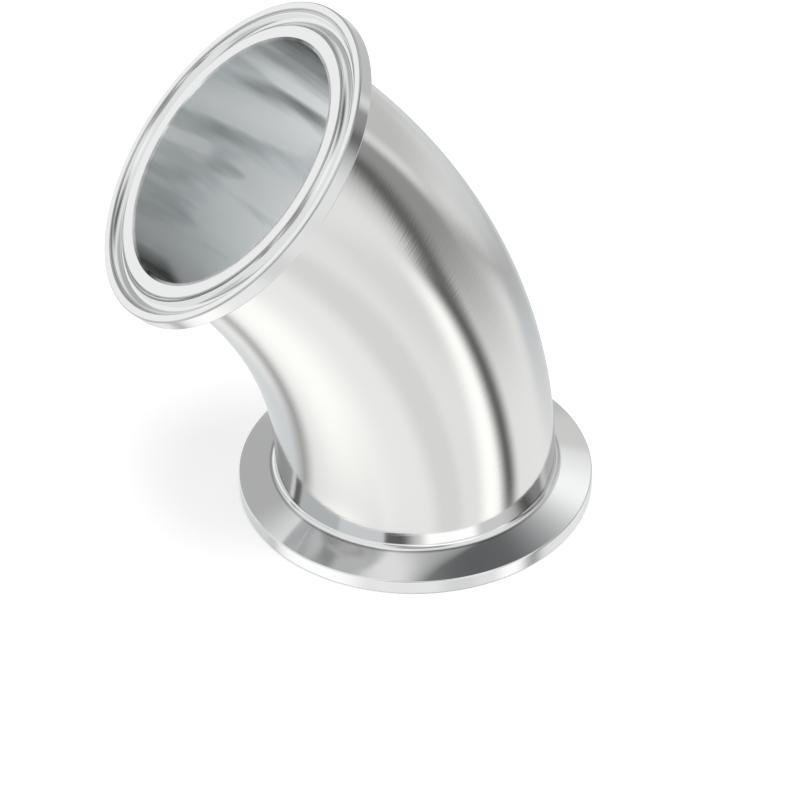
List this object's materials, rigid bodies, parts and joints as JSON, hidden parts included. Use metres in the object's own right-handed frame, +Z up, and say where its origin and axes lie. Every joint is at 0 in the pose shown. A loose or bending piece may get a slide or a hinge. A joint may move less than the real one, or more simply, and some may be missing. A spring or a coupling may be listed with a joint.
{
  "type": "forty-five degree clamp elbow",
  "caption": "Bent stainless tube elbow with a flat-faced, back-tapered clamp ferrule and a gasket channel at each end, for turning a hygienic pipe run through an oblique angle.",
  "frame": {"origin": "centre of the lower gasket face, on the lower bore's axis", "axes": "+Z up the lower bore's axis into the fitting, bend leaning towards +X in the XZ plane, +Y across the bend"},
  "size_m": [0.0869, 0.064, 0.1007],
  "materials": {
    "brushed_tube_steel": "fine satin polish, brushed round the tube",
    "polished_ferrule_steel": "bright turned and polished"
  },
  "bodies": {
    "root": {"elbow_bend": "brushed_tube_steel", "lower_ferrule": "polished_ferrule_steel", "upper_ferrule": "polished_ferrule_steel"}
  },
  "joints": []
}
